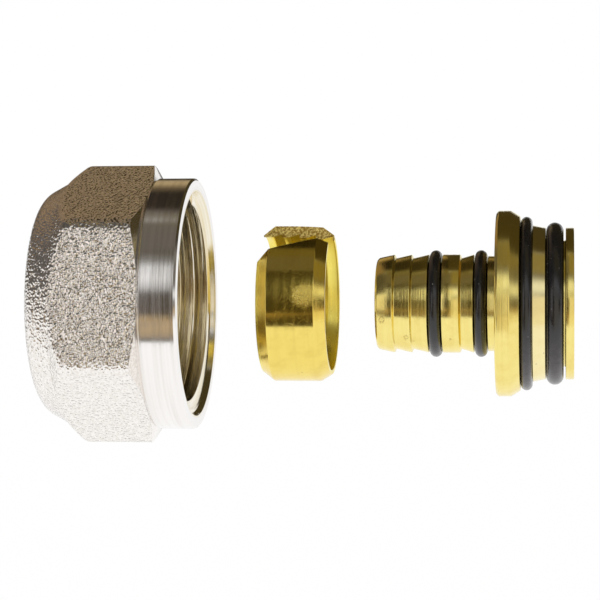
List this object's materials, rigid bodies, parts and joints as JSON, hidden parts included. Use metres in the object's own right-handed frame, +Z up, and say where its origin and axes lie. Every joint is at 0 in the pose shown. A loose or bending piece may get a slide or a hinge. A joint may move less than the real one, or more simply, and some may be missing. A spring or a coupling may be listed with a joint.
{
  "type": "pipe compression adapter",
  "caption": "Brass compression adapter laid out in a row: hexagon cap nut, split clamp ring and barbed insert with rubber seals, joining plastic pipe to a threaded outlet.",
  "frame": {"origin": "centre of the end of the insert's nose, which enters the outlet that the adapter is screwed to", "axes": "+X along the common axis, out of the nose; +Z up, with the slit of the clamp ring on top"},
  "size_m": [0.0653, 0.0312, 0.0344],
  "materials": {
    "nickel_plate": "nickel-plated brass, blasted forging with a bright turned collar",
    "ring_brass": "turned brass, lightly scuffed",
    "insert_brass": "bright turned brass",
    "seal_rubber": "satin black rubber"
  },
  "bodies": {
    "insert_body": {"insert": "insert_brass", "tail_end_seal": "seal_rubber", "tail_root_seal": "seal_rubber", "cone_seal": "seal_rubber", "nose_seal": "seal_rubber"},
    "ring_body": {"clamp_ring": "ring_brass"},
    "nut_body": {"cap_nut": "nickel_plate"}
  },
  "joints": [
    {"name": "ring_slide", "type": "slide", "parent": "insert_body", "child": "ring_body", "axis": [1, 0, 0], "range_m": [0, 0.01965]},
    {"name": "nut_slide", "type": "slide", "parent": "ring_body", "child": "nut_body", "axis": [1, 0, 0], "range_m": [0, 0.02435]}
  ]
}
